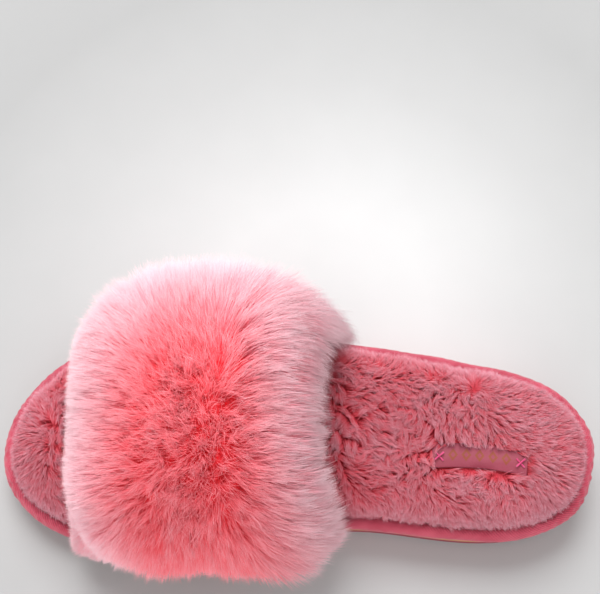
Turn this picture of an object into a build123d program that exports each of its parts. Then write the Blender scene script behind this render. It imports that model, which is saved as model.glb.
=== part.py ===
"""Open-toed house slipper with one wide fur strap, right foot.

Millimetres.  +Z is up from the ground, +Y runs from the toe to the heel and
+X points to the inner (arch) side.  The origin lies on the ground under the
middle of the whole slipper.
"""
from build123d import *
import math
import os

# ---- Driving dimensions --------------------------------------------------
LENGTH = 255.0            # toe edge to heel edge, over the edge wrap
AXIS_X = 8.5             # the toe tip and the heel tip lie on this line

# Half widths either side of that line: (distance behind the toe, outer side, inner side).
TOE_ROUND = (9.0, 25.5, 22.0)
TOE_SHOULDER = (26.0, 42.4, 34.0)
BALL = (85.0, 54.0, 42.5)
WAIST = (150.0, 48.0, 33.6)
HEEL_WIDEST = (212.0, 37.0, 38.6)
HEEL_ROUND = (246.0, 21.5, 26.0)

OUTLINE_STEPS = 20        # points along each side of an inset outline

SOLE_INSET = 2.0          # the soles stand this far inside the edge wrap
OUTSOLE_T = 6.5
OUTSOLE_EDGE_R = 2.4
GROOVE_W = 2.4            # tread grooves
GROOVE_D = 1.6
GROOVE_PITCH = 9.0
GROOVE_END_MARGIN = 12.0
GROOVE_POINT = 7.0        # how far each chevron groove runs forward at its middle
STRIPE_T = 2.9

WEDGE_T = 8.0             # under the heel
WEDGE_START = 97.0        # distance behind the toe where the wedge begins
WEDGE_FULL = 130.0        # and where it has its full height
WEDGE_EDGE_T = 0.5

WRAP_T = 1.2              # cloth around the edge of the footbed
WRAP_H = 7.0
WRAP_EDGE_R = 3.0
WRAP_TOP_W = 6.0          # how far it lies over the footbed
WRAP_UNDER_W = 11.0       # and how far it is turned in below
WRAP_UNDER_T = 0.8
BOARD_T = 1.5
FOAM_TOP = 9.0            # crown of the footbed foam above the midsole
FOAM_CROWN_INSET = 9.0
PLUSH_INSET = 6.1
PLUSH_TOP = 20.6          # pile tips above the midsole
PLUSH_EDGE_R = 7.0
GAP = 0.1                 # between neighbouring layers

LABEL_L = 40.0
LABEL_W = 10.3
LABEL_T = 0.8
LABEL_SINK = 2.6          # how deep it lies in the pile
LABEL_FROM_TOE = 204.0
LABEL_OFF_AXIS = 6.7
LABEL_TILT = -5.0

# Strap base (interlining face, where the pile is rooted):
# (distance behind the toe, height of its crown above the ground).
STRAP_CROWN = ((18.0, 47.0), (44.0, 58.0), (66.0, 69.0), (90.0, 76.0), (118.0, 77.0), (152.0, 74.0))
STRAP_SQUARENESS = 2.35   # superellipse exponent of the arch
STRAP_FRONT = (38.0, 45.0)   # front edge, distance behind the toe: at the sole, at the crown
STRAP_REAR = (129.0, 118.0)  # rear edge: at the sole, at the crown
INTERLINING_T = 1.0
STRAP_FOAM_T = 3.0
LINING_T = 1.6
STRAP_T = INTERLINING_T + STRAP_FOAM_T + LINING_T

# Pile tips of the strap: (distance behind the toe, height, outer half width, inner half width).
FUR = (
    (33.0, 66.0, 44.0, 31.0),
    (41.0, 80.0, 57.0, 41.0),
    (54.0, 88.5, 68.0, 49.0),
    (74.0, 97.0, 73.5, 54.0),
    (95.0, 102.0, 74.5, 56.5),
    (113.0, 96.0, 74.0, 57.5),
    (128.0, 81.0, 70.0, 57.0),
    (143.0, 56.0, 60.0, 53.0),
)
FUR_WIDEST_Z = 42.0
FUR_HEM_Z = 11.0
FUR_HEM_TUCK = 8.0        # the hem hangs this much nearer the sole than the widest pile
FUR_SQUARENESS = 2.25

STITCH_L = 3.0
STITCH_R = 0.35
STITCH_PITCH = 5.0
STRAP_STITCH_INSET = 4.0  # from the strap's front and rear edges

REACH = 200.0             # longer than the slipper is wide or high
STRIPE_TOP = OUTSOLE_T + STRIPE_T


def y_at(from_toe):
    """Frame Y of a distance behind the toe."""
    return from_toe - LENGTH / 2


def moved_in(curve, inset):
    """The same curve moved to its left by inset, through evenly spaced points."""
    points = []
    for i in range(OUTLINE_STEPS + 1):
        heading = curve % (i / OUTLINE_STEPS)
        left = Vector(-heading.Y, heading.X, 0)
        points.append(curve @ (i / OUTLINE_STEPS) + left * inset)
    return Spline(points, tangents=[curve % 0, curve % 1], tangent_scalars=[1, 1])


def outline_face(inset):
    """Plan of the slipper on the ground, moved inward by inset."""
    stations = [TOE_ROUND, TOE_SHOULDER, BALL, WAIST, HEEL_WIDEST, HEEL_ROUND]
    toe = (AXIS_X, y_at(0))
    heel = (AXIS_X, y_at(LENGTH))
    outer = [(AXIS_X - lateral, y_at(s)) for s, lateral, _ in stations]
    inner = [(AXIS_X + medial, y_at(s)) for s, _, medial in stations]
    inner_side = Spline(toe, *inner, heel, tangents=[(1, 0), (-1, 0)], tangent_scalars=[1, 1])
    outer_side = Spline(heel, *reversed(outer), toe, tangents=[(-1, 0), (1, 0)], tangent_scalars=[1, 1])
    return make_face(moved_in(inner_side, inset) + moved_in(outer_side, inset))


def prism(inset, bottom=-1.0, top=REACH):
    """Upright solid inside the outline."""
    return Pos(0, 0, bottom) * extrude(outline_face(inset), top - bottom)


def ramp(lift=0.0):
    """Side line of the midsole's top, raised by lift: flat forefoot, rise, flat heel."""
    low = STRIPE_TOP + lift
    high = low + WEDGE_T
    rise_start = y_at(WEDGE_START)
    rise_end = y_at(WEDGE_FULL)
    run = (rise_end - rise_start) * 0.45
    front = Line((-REACH, low), (rise_start, low))
    rise = Bezier((rise_start, low), (rise_start + run, low), (rise_end - run, high), (rise_end, high))
    rear = Line((rise_end, high), (REACH, high))
    return front + rise + rear


def below(curve):
    """Everything below a side line, across the whole width."""
    start = curve @ 0
    end = curve @ 1
    floor_z = -10.0
    sides = Polyline((start.X, start.Y), (start.X, floor_z), (end.X, floor_z), (end.X, end.Y))
    side_face = make_face(curve + sides)
    return extrude(Plane.YZ * side_face, REACH, both=True)


def slab(bottom, top):
    """The layer that lies from bottom to top above the midsole's top line."""
    return below(ramp(top)) - below(ramp(bottom))


def half_widths(y):
    """Where a line across the slipper at y meets the outline: low X, high X."""
    across = outline_face(0) & Pos(0, y) * Rectangle(REACH, 0.02)
    box = across.bounding_box()
    return box.min.X, box.max.X


def superellipse(half_width, height, squareness, turn):
    """Point of an arch at turn degrees, 0 at its +X foot and 180 at its -X foot."""
    angle = math.radians(turn)
    power = 2 / squareness
    x = half_width * math.copysign(abs(math.cos(angle)) ** power, math.cos(angle))
    z = height * abs(math.sin(angle)) ** power
    return x, z


def arch_section(y, low_x, high_x, foot_z, crown_z):
    """Filled arch standing on straight legs, in the plane across the slipper at y."""
    centre = (low_x + high_x) / 2
    half = (high_x - low_x) / 2
    turns = [22.5 * i for i in range(9)]
    curve = []
    for turn in turns:
        x, z = superellipse(half, crown_z - foot_z, STRAP_SQUARENESS, turn)
        curve.append((centre + x, foot_z + z))
    arch = Spline(curve, tangents=[(0, 1), (0, -1)], tangent_scalars=[1, 1])
    legs = Polyline((low_x, foot_z), (low_x, 0), (high_x, 0), (high_x, foot_z))
    section_plane = Plane(origin=(0, y, 0), x_dir=(1, 0, 0), z_dir=(0, -1, 0))
    return section_plane * make_face(arch + legs)


def arch_solid(inward):
    """The strap's arch as a filled tunnel; inward counts from the strap's outer face."""
    sections = []
    for from_toe, crown in STRAP_CROWN:
        y = y_at(from_toe)
        low_x, high_x = half_widths(y)
        side = WRAP_T + GAP + inward
        foot_z = STRIPE_TOP + WRAP_H
        sections.append(arch_section(y, low_x + side, high_x - side, foot_z, crown - inward))
    return loft(sections)


def strap_span(clearance=0.0):
    """Front and rear limits of the strap, as a solid slab that narrows upward."""
    crown_z = 90.0
    foot_z = STRIPE_TOP
    corners = [
        (y_at(STRAP_FRONT[0]) - clearance, foot_z),
        (y_at(STRAP_FRONT[1]) - clearance, crown_z),
        (y_at(STRAP_REAR[1]) + clearance, crown_z),
        (y_at(STRAP_REAR[0]) + clearance, foot_z),
    ]
    return extrude(Plane.YZ * make_face(Polyline(corners, close=True)), REACH, both=True)


def strap_layer(outer, inner):
    """One cloth or foam layer of the strap, tucked inside the edge wrap."""
    ring = (arch_solid(outer) - arch_solid(inner)) & strap_span()
    ring -= below(ramp(WRAP_UNDER_T + BOARD_T + GAP))
    return ring & prism(WRAP_T + GAP)


def strap_room():
    """Space that the strap's ends take up beside the footbed."""
    return (prism(WRAP_T + GAP) & strap_span(GAP)) - arch_solid(STRAP_T + GAP)


def strap_crown(from_toe):
    """Height of the strap's crown at a distance behind the toe."""
    for (s0, z0), (s1, z1) in zip(STRAP_CROWN, STRAP_CROWN[1:]):
        if s0 <= from_toe <= s1:
            return z0 + (z1 - z0) * (from_toe - s0) / (s1 - s0)


def outsole():
    body = prism(SOLE_INSET, 0, OUTSOLE_T)
    body = fillet(body.edges().group_by(Axis.Z)[0], OUTSOLE_EDGE_R)
    count = int((LENGTH - 2 * GROOVE_END_MARGIN) // GROOVE_PITCH)
    for i in range(count + 1):
        middle = y_at(GROOVE_END_MARGIN + i * GROOVE_PITCH)
        chevron = Polyline(
            (-REACH / 2, middle + GROOVE_POINT), (0, middle - GROOVE_POINT), (REACH / 2, middle + GROOVE_POINT))
        strip = trace(chevron, GROOVE_W)
        body -= Pos(0, 0, -1) * extrude(strip, 1 + GROOVE_D)
    return body


def midsole_stripe():
    return prism(SOLE_INSET, OUTSOLE_T, STRIPE_TOP)


def midsole_wedge():
    upper = prism(SOLE_INSET, STRIPE_TOP, REACH) & below(ramp())
    start = y_at(WEDGE_START) + WEDGE_EDGE_T * 10
    return upper & Pos(0, start + REACH / 2, 0) * Box(REACH, REACH, REACH)


def insole_board():
    return prism(WRAP_T + GAP) & slab(WRAP_UNDER_T, WRAP_UNDER_T + BOARD_T)


def footbed_foam():
    bottom = WRAP_UNDER_T + BOARD_T
    base = prism(WRAP_T + GAP) & slab(bottom, WRAP_H - WRAP_T - GAP)
    crown = prism(FOAM_CROWN_INSET) & slab(bottom, FOAM_TOP)
    return (base + crown) - strap_room()


def side_wrap():
    outside = prism(0) & slab(0, WRAP_H)
    top_edges = [e for e in outside.edges() if e.center().Z > STRIPE_TOP + WRAP_H - 1]
    rounded = fillet(top_edges, WRAP_EDGE_R)
    inside = prism(WRAP_T) & slab(WRAP_UNDER_T, WRAP_H - WRAP_T)
    wrap = rounded - inside
    wrap -= prism(WRAP_TOP_W) & slab(WRAP_UNDER_T, WRAP_H + 1)
    wrap -= prism(WRAP_UNDER_W) & slab(-1, WRAP_UNDER_T + 1)
    return wrap - strap_room()


def plush_top():
    """Side line of the pile tips: lower over the toe, full over the rear, rounded down at both ends."""
    forefoot = STRIPE_TOP + PLUSH_TOP
    rear = forefoot + WEDGE_T
    return Spline(
        (y_at(-5), forefoot - 8),
        (y_at(16), forefoot - 1.5),
        (y_at(60), forefoot + 0.6),
        (y_at(WEDGE_START), forefoot + 1.5),
        (y_at(WEDGE_FULL), rear - 0.6),
        (y_at(190), rear),
        (y_at(236), rear - 2),
        (y_at(260), rear - 9),
    )


def insole_plush():
    body = prism(PLUSH_INSET) & below(plush_top())
    top_edges = [e for e in body.edges() if e.center().Z > STRIPE_TOP + WRAP_H]
    body = fillet(top_edges, PLUSH_EDGE_R) - below(ramp(WRAP_H - WRAP_T))
    body -= prism(FOAM_CROWN_INSET) & slab(0, FOAM_TOP)
    return body - strap_room() - label_block(GAP, PLUSH_TOP)


def label_frame():
    """Where the label lies: on the pile of the heel, turned a little towards the arch side."""
    z = STRIPE_TOP + WEDGE_T + PLUSH_TOP - LABEL_SINK
    return Pos(AXIS_X + LABEL_OFF_AXIS, y_at(LABEL_FROM_TOE), z) * Rot(0, 0, LABEL_TILT)


def label_block(clearance, height):
    """The label's outline as a block: length along the slipper."""
    block = Box(
        LABEL_W + 2 * clearance, LABEL_L + 2 * clearance, height,
        align=(Align.CENTER, Align.CENTER, Align.MIN))
    return label_frame() * block


def label():
    return label_block(0, LABEL_T)


def stitch(length):
    """One stitch of thread, lying along Y."""
    return Rot(90, 0, 0) * Cylinder(STITCH_R, length)


def label_stitching():
    """Two crossed stitches at each end of the label."""
    stitches = []
    for end in (-1, 1):
        for turn in (-45, 45):
            place = Pos(0, end * (LABEL_L / 2 - 3), LABEL_T + STITCH_R) * Rot(0, 0, turn)
            lift = Pos(0, 0, 0 if turn < 0 else 2 * STITCH_R)
            stitches.append(label_frame() * lift * place * stitch(5))
    return stitches


def edge_stitching():
    """Thread that joins the edge wrap to the plush, once around except under the strap."""
    seam = outline_face(WRAP_TOP_W - 3 * STITCH_R).face().outer_wire()
    count = int(seam.length // STITCH_PITCH)
    stitches = []
    for i in range(count):
        point = seam @ (i / count)
        heading = seam % (i / count)
        behind_toe = point.Y + LENGTH / 2
        if STRAP_FRONT[0] - STITCH_L < behind_toe < STRAP_REAR[0] + STITCH_L:
            continue
        rise = WEDGE_T if behind_toe > WEDGE_FULL else 0
        z = STRIPE_TOP + WRAP_H + rise + STITCH_R
        turn = math.degrees(math.atan2(heading.Y, heading.X)) - 90
        stitches.append(Pos(point.X, point.Y, z) * Rot(0, 0, turn) * stitch(STITCH_L))
    return stitches


def strap_stitching(from_toe):
    """Thread row on the lining, following the arch near one edge of the strap."""
    y = y_at(from_toe)
    low_x, high_x = half_widths(y)
    side = WRAP_T + GAP + STRAP_T + 2 * STITCH_R
    half = (high_x - low_x) / 2 - side
    crown = strap_crown(from_toe) - STRAP_T - 3 * STITCH_R
    foot_z = STRIPE_TOP + WRAP_H
    centre = (low_x + high_x) / 2
    stitches = []
    for turn in range(20, 161, 5):
        x, z = superellipse(half, crown - foot_z, STRAP_SQUARENESS, turn)
        x2, z2 = superellipse(half, crown - foot_z, STRAP_SQUARENESS, turn + 1)
        tilt = math.degrees(math.atan2(z2 - z, x2 - x))
        lie = Pos(centre + x, y, foot_z + z) * Rot(0, 90 - tilt, 0)
        stitches.append(lie * Cylinder(STITCH_R, STITCH_L))
    return stitches


def fur_section(from_toe, crown, outer, inner):
    """Filled section of the pile at one distance behind the toe, leaning in again at its hem."""
    points = [(inner - FUR_HEM_TUCK, FUR_HEM_Z)]
    for turn in (0, 30, 60, 90, 120, 150, 180):
        x, z = superellipse(1, crown - FUR_WIDEST_Z, FUR_SQUARENESS, turn)
        reach = inner if x > 0 else outer
        points.append((x * reach, FUR_WIDEST_Z + z))
    points.append((-(outer - FUR_HEM_TUCK), FUR_HEM_Z))
    placed = [(AXIS_X + x, z) for x, z in points]
    curve = Spline(placed)
    hem = Line(placed[-1], placed[0])
    section_plane = Plane(origin=(0, y_at(from_toe), 0), x_dir=(1, 0, 0), z_dir=(0, -1, 0))
    return section_plane * make_face(curve + hem)


def strap_fur():
    pile = loft([fur_section(*station) for station in FUR])
    pile -= arch_solid(-GAP)
    beside_sole = prism(-0.4) & below(ramp(WRAP_H + 0.4))
    return pile - beside_sole


def build_all():
    layers = {
        "outsole": outsole(),
        "midsole_stripe": midsole_stripe(),
        "midsole_wedge": midsole_wedge(),
        "insole_board": insole_board(),
        "footbed_foam": footbed_foam(),
        "side_wrap": side_wrap(),
        "insole_plush": insole_plush(),
        "label": label(),
        "label_stitching": Compound(label_stitching()),
        "edge_stitching": Compound(edge_stitching()),
        "strap_fur": strap_fur(),
    }
    depth = 0
    for name, thickness in (
        ("strap_interlining", INTERLINING_T), ("strap_foam", STRAP_FOAM_T), ("strap_lining", LINING_T)):
        layers[name] = strap_layer(depth, depth + thickness)
        depth += thickness
    front = STRAP_FRONT[1] + STRAP_STITCH_INSET
    rear = STRAP_REAR[1] - STRAP_STITCH_INSET
    layers["strap_front_stitching"] = Compound(strap_stitching(front))
    layers["strap_rear_stitching"] = Compound(strap_stitching(rear))
    return layers


os.makedirs("parts", exist_ok=True)
for node, solid in build_all().items():
    export_step(solid, f"parts/{node}.step")
    print(node, round(solid.volume), solid.is_valid, len(solid.solids()))
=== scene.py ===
"""Looks of the fluffy house slipper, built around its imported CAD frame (Blender 4.5, metres)."""
import math

import bpy
import numpy as np
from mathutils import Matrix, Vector
from mathutils.bvhtree import BVHTree
from mathutils.kdtree import KDTree


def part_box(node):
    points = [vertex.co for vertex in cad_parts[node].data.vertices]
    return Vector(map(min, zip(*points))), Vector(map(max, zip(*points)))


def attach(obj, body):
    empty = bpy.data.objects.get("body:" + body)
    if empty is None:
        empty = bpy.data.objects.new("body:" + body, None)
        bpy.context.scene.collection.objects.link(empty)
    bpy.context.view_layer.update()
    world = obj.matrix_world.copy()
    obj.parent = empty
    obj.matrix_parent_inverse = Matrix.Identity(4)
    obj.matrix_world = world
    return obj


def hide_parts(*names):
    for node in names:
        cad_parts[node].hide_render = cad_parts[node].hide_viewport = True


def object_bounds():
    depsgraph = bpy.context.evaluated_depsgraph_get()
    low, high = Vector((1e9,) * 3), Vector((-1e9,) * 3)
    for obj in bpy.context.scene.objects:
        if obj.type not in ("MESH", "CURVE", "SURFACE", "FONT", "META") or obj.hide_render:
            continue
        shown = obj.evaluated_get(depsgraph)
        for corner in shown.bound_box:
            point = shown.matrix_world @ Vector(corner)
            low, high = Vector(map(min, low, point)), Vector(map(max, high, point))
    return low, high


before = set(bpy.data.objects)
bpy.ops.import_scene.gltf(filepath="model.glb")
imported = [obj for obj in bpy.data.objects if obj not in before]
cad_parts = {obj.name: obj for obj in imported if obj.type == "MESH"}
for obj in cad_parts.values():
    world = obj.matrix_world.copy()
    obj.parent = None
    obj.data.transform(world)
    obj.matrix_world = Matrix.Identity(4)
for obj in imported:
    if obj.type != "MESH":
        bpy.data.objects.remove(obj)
CAD_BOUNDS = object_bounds()
MM = 0.001
BODY = "root"
SEED = 11
UP = np.array([0.0, 0.0, 1.0])


# ---------------------------------------------------------------- small helpers

def unit(vectors):
    """Rows of an array, each scaled to length one."""
    length = np.linalg.norm(vectors, axis=-1, keepdims=True)
    return vectors / np.maximum(length, 1e-12)


def mix(a, b, share):
    """Straight blend from a to b; share may be one number per row."""
    share = np.asarray(share)
    if share.ndim and np.ndim(a) > share.ndim:
        share = share[..., None]
    return a * (1 - share) + b * share


def smooth_step(low, high, value):
    t = np.clip((value - low) / (high - low), 0, 1)
    return t * t * (3 - 2 * t)


def running_length(points):
    """Distance along a row of points from the first one to each."""
    return np.concatenate([[0], np.cumsum(np.linalg.norm(np.diff(points, axis=0), axis=-1))])


def read_along(points, along, wanted, **how):
    """Row of points read at the wanted distances; along holds the distance of each given point."""
    return np.stack([np.interp(wanted, along, column, **how) for column in points.T], -1)


def smoothed_loop(points, passes):
    """Closed loop of points, each drawn towards its two neighbours."""
    for _ in range(passes):
        points = (np.roll(points, 1, 0) + 2 * points + np.roll(points, -1, 0)) / 4
    return points


def waves(points, wavelength, seed, count=10):
    """Smooth noise of about unit strength: a sum of sine waves in random directions."""
    random = np.random.default_rng(seed)
    points = np.asarray(points, float)
    total = np.zeros(points.shape[:-1])
    for _ in range(count):
        direction = unit(random.normal(size=points.shape[-1]))
        stretch = random.uniform(0.6, 1.6)
        phase = random.uniform(0, 2 * math.pi)
        total += np.sin(points @ direction * (2 * math.pi * stretch / wavelength) + phase)
    return total * math.sqrt(2 / count)


def linked(name, data):
    """New object of the scene."""
    obj = bpy.data.objects.new(name, data)
    bpy.context.scene.collection.objects.link(obj)
    return obj


def add_mesh(name, vertices, faces, uv=None, smooth=True):
    """New object from arrays. faces are equal-length rows, or a list of such arrays."""
    groups = faces if isinstance(faces, list) else [faces]
    loops = np.concatenate([g.ravel() for g in groups]).astype(np.int32)
    sizes = np.concatenate([np.full(len(g), g.shape[1]) for g in groups]).astype(np.int32)
    starts = np.concatenate([[0], np.cumsum(sizes)[:-1]]).astype(np.int32)
    mesh = bpy.data.meshes.new(name)
    mesh.vertices.add(len(vertices))
    mesh.vertices.foreach_set("co", np.asarray(vertices, np.float32).ravel())
    mesh.loops.add(len(loops))
    mesh.loops.foreach_set("vertex_index", loops)
    mesh.polygons.add(len(sizes))
    mesh.polygons.foreach_set("loop_start", starts)
    mesh.polygons.foreach_set("loop_total", sizes)
    mesh.polygons.foreach_set("use_smooth", np.full(len(sizes), smooth))
    for layer, values in (uv or {}).items():
        data = mesh.uv_layers.new(name=layer).data
        data.foreach_set("uv", np.asarray(values, np.float32)[loops].ravel())
    mesh.update()
    mesh.validate()
    return linked(name, mesh)


def finish_piece(obj, material, replaces=()):
    """Gives a piece its material and its body, and hides the CAD nodes that it stands for."""
    obj.data.materials.clear()
    obj.data.materials.append(material)
    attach(obj, BODY)
    if replaces:
        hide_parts(*replaces)
    return obj


def cad_tree(node):
    """Ray-casting tree of a CAD node's mesh."""
    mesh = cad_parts[node].data
    vertices = [v.co.copy() for v in mesh.vertices]
    return BVHTree.FromPolygons(vertices, [tuple(p.vertices) for p in mesh.polygons])


def grid_faces(rows, columns, wrap_columns=False):
    """Quads of a grid of vertices stored row by row."""
    r = np.arange(rows - 1)[:, None]
    c = np.arange(columns if wrap_columns else columns - 1)[None, :]
    right = (c + 1) % columns
    return np.stack([r * columns + c, r * columns + right,
                     (r + 1) * columns + right, (r + 1) * columns + c], -1).reshape(-1, 4)


def closed_shell(name, outer, inner, smooth=True):
    """Solid sheet between two grids of points, closed all round its rim, with its UVs in metres."""
    rows, columns = outer.shape[:2]
    count = rows * columns
    face = grid_faces(rows, columns)
    edge = np.concatenate([
        np.arange(columns), np.arange(1, rows) * columns + columns - 1,
        (rows - 1) * columns + np.arange(columns - 2, -1, -1),
        np.arange(rows - 2, 0, -1) * columns])
    following = np.roll(edge, -1)
    rim = np.stack([edge, following, following + count, edge + count], -1)
    down = running_length(outer[:, columns // 2])
    over = running_length(outer[rows // 2])
    uv = np.stack(np.broadcast_arrays(over[None, :], down[:, None]), -1).reshape(-1, 2)
    vertices = np.concatenate([outer.reshape(-1, 3), inner.reshape(-1, 3)])
    faces = np.concatenate([face[:, ::-1], face + count, rim])
    return add_mesh(name, vertices, faces, {"cloth": np.concatenate([uv, uv])}, smooth)


def sample_grid(grid, u, v):
    """Bilinear reading of a grid at shares u of its rows and v of its columns."""
    rows, columns = grid.shape[:2]
    x = np.clip(u, 0, 1) * (rows - 1)
    y = np.clip(v, 0, 1) * (columns - 1)
    i = np.minimum(x.astype(int), rows - 2)
    j = np.minimum(y.astype(int), columns - 2)
    fx = x - i
    fy = y - j
    if grid.ndim > 2:
        fx = fx[:, None]
        fy = fy[:, None]
    low = grid[i, j] * (1 - fy) + grid[i, j + 1] * fy
    high = grid[i + 1, j] * (1 - fy) + grid[i + 1, j + 1] * fy
    return low * (1 - fx) + high * fx


def doubled_areas(grid):
    """Twice the area of each cell of a grid of points."""
    across = grid[1:, 1:] - grid[:-1, :-1]
    other = grid[:-1, 1:] - grid[1:, :-1]
    return np.linalg.norm(np.cross(across, other), axis=-1)


def random_places(grid, weight, count, random):
    """Random (u, v) places, even over a grid's area times its weight at each grid point."""
    area = doubled_areas(grid)
    share = (area * (weight[1:, 1:] + weight[:-1, :-1])).ravel()
    cell = random.choice(share.size, size=count, p=share / share.sum())
    rows, columns = area.shape
    u = (cell // columns + random.uniform(size=count)) / rows
    v = (cell % columns + random.uniform(size=count)) / columns
    return u, v


def grid_normals(grid, outward):
    """Unit normals of a grid of points, turned to the side that outward points to at its middle."""
    normal = unit(np.cross(np.gradient(grid, axis=1), np.gradient(grid, axis=0)))
    middle = normal[grid.shape[0] // 2, grid.shape[1] // 2]
    return normal if middle @ np.asarray(outward) > 0 else -normal


def blurred(grid, passes):
    """Grid of numbers or vectors, smoothed with its neighbours."""
    for _ in range(passes):
        padded = np.pad(grid, [(1, 1), (1, 1)] + [(0, 0)] * (grid.ndim - 2), mode="edge")
        grid = (padded[:-2, 1:-1] + padded[2:, 1:-1] + padded[1:-1, :-2] + padded[1:-1, 2:]
                + 2 * padded[1:-1, 1:-1]) / 6
    return grid


# ---------------------------------------------------------------- sizes read from the frame

PLAN_STEPS = 900
PLAN_SMOOTHING = 12            # passes over the sole's edge
SOLE_INSET = 2 * MM            # the soles stand this far inside the edge wrap
BOARD_LIFT = 0.8 * MM          # underside of the board above the midsole
LINE_MARGIN = 14 * MM          # a height line stays this far inside its node at both ends
LINE_STEPS = 240
BESIDE_LABEL = 14 * MM         # the plush's crown is read this far beside the axis


def plan_outline():
    """Edge of the soles in plan, evenly spaced and counter-clockwise, with its outward normals."""
    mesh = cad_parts["midsole_stripe"].data
    points = np.array([v.co for v in mesh.vertices])
    points = points[points[:, 2] > points[:, 2].max() - 0.1 * MM][:, :2]
    centre = (points.min(0) + points.max(0)) / 2
    angle = np.arctan2(points[:, 1] - centre[1], points[:, 0] - centre[0])
    points = points[np.argsort(angle)]
    closed = np.vstack([points, points[:1]])
    along = running_length(closed)
    wanted = np.linspace(0, along[-1], PLAN_STEPS, endpoint=False)
    even = smoothed_loop(read_along(closed, along, wanted), PLAN_SMOOTHING)
    heading = unit(np.roll(even, -1, 0) - np.roll(even, 1, 0))
    normal = np.stack([heading[:, 1], -heading[:, 0]], -1)
    return even, normal, along[-1]


SOLE_EDGE, EDGE_NORMAL, EDGE_LENGTH = plan_outline()
WRAP_EDGE = SOLE_EDGE + EDGE_NORMAL * SOLE_INSET
EDGE_ALONG = np.arange(PLAN_STEPS) * EDGE_LENGTH / PLAN_STEPS
TOE_Y = CAD_BOUNDS[0].y
HEEL_Y = CAD_BOUNDS[1].y


def widths_at(y, inset):
    """Low X and high X of the plan, inset from the wrap's edge, at an array of Y."""
    loop = WRAP_EDGE - EDGE_NORMAL * inset
    sides = []
    for of_side in (EDGE_NORMAL[:, 0] < 0, EDGE_NORMAL[:, 0] >= 0):
        side = loop[of_side]
        side = side[np.argsort(side[:, 1])]
        sides.append(np.interp(y, side[:, 1], side[:, 0]))
    return sides


def height_line(node, from_below, x):
    """First height at which a vertical ray meets a node, as a function of Y."""
    tree = cad_tree(node)
    low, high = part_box(node)
    ys = np.linspace(low.y + LINE_MARGIN, high.y - LINE_MARGIN, LINE_STEPS)
    start_z = -1.0 if from_below else 1.0
    heights = [tree.ray_cast(Vector((x, y, start_z)), Vector((0, 0, -start_z)))[0].z for y in ys]
    return lambda y: np.interp(y, ys, heights)


AXIS_X = (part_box("side_wrap")[0].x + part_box("side_wrap")[1].x) / 2
board_under = height_line("insole_board", True, AXIS_X)
plush_crown = height_line("insole_plush", False, AXIS_X - BESIDE_LABEL)


def midsole_top(y):
    """Height of the midsole's top at an array of Y."""
    return board_under(y) - BOARD_LIFT


# ---------------------------------------------------------------- materials

def srgb(r, g, b):
    """Linear colour of an 8-bit one."""
    def linear(c):
        c = c / 255
        return c / 12.92 if c <= 0.04045 else ((c + 0.055) / 1.055) ** 2.4
    return (linear(r), linear(g), linear(b), 1.0)


class Nodes:
    """Short ways to build a material's node tree around one Principled shader."""

    def __init__(self, name, roughness, **sockets):
        self.material = bpy.data.materials.new(name)
        self.material.use_nodes = True
        self.tree = self.material.node_tree
        self.shader = self.tree.nodes["Principled BSDF"]
        self.shader.inputs["Roughness"].default_value = roughness
        for socket, value in sockets.items():
            self.shader.inputs[socket.replace("_", " ")].default_value = value

    def add(self, kind, inputs=None, **settings):
        node = self.tree.nodes.new(kind)
        for key, value in settings.items():
            setattr(node, key, value)
        for key, value in (inputs or {}).items():
            self.put(value, node.inputs[key])
        return node

    def put(self, value, socket):
        """Links a node's output to a socket, or sets the socket's value."""
        if isinstance(value, bpy.types.Node):
            value = value.outputs[0]
        if isinstance(value, bpy.types.NodeSocket):
            self.tree.links.new(value, socket)
        else:
            socket.default_value = value

    def place(self):
        return self.add("ShaderNodeTexCoord").outputs["Object"]

    def uv(self, name):
        return self.add("ShaderNodeUVMap", uv_map=name).outputs["UV"]

    def scaled(self, vector, scale):
        return self.add("ShaderNodeMapping", {"Vector": vector, "Scale": scale})

    def noise(self, vector, scale, detail=3.0, roughness=0.5):
        return self.add("ShaderNodeTexNoise", {"Vector": vector, "Scale": scale, "Detail": detail,
                                               "Roughness": roughness}).outputs["Fac"]

    def wave(self, vector, direction, scale, distortion=0.0, detail=2.0):
        inputs = {"Vector": vector, "Scale": scale, "Distortion": distortion, "Detail": detail}
        return self.add("ShaderNodeTexWave", inputs, bands_direction=direction).outputs["Fac"]

    def ramp(self, value, stops):
        """Colour ramp; stops are (position, colour)."""
        node = self.add("ShaderNodeValToRGB", {"Fac": value})
        elements = node.color_ramp.elements
        while len(elements) < len(stops):
            elements.new(0.5)
        for element, (position, colour) in zip(elements, stops):
            element.position = position
            element.color = colour
        return node.outputs["Color"]

    def math(self, operation, a, b=0.0):
        return self.add("ShaderNodeMath", {0: a, 1: b}, operation=operation).outputs[0]

    def blend(self, share, a, b, how="MIX"):
        node = self.add("ShaderNodeMix", data_type="RGBA", blend_type=how)
        self.put(share, node.inputs[0])
        self.put(a, node.inputs[6])
        self.put(b, node.inputs[7])
        return node.outputs[2]

    def colour(self, value):
        self.put(value, self.shader.inputs["Base Color"])

    def bump(self, height, strength, distance):
        inputs = {"Height": height, "Strength": strength, "Distance": distance}
        self.put(self.add("ShaderNodeBump", inputs), self.shader.inputs["Normal"])


def pile_material(name, deep, pale, **sockets):
    """Fibres: root to tip along UV y, and from the deep to the pale ramp along UV x.

    The ramps' stops are rows of position, red, green and blue."""
    n = Nodes(name, 0.75, **sockets)
    split = n.add("ShaderNodeSeparateXYZ", {"Vector": n.uv("OFBake")})
    ramps = [n.ramp(split.outputs["Y"], [(at, srgb(*colour)) for at, *colour in stops])
             for stops in (deep, pale)]
    n.colour(n.blend(split.outputs["X"], *ramps))
    return n.material


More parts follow.
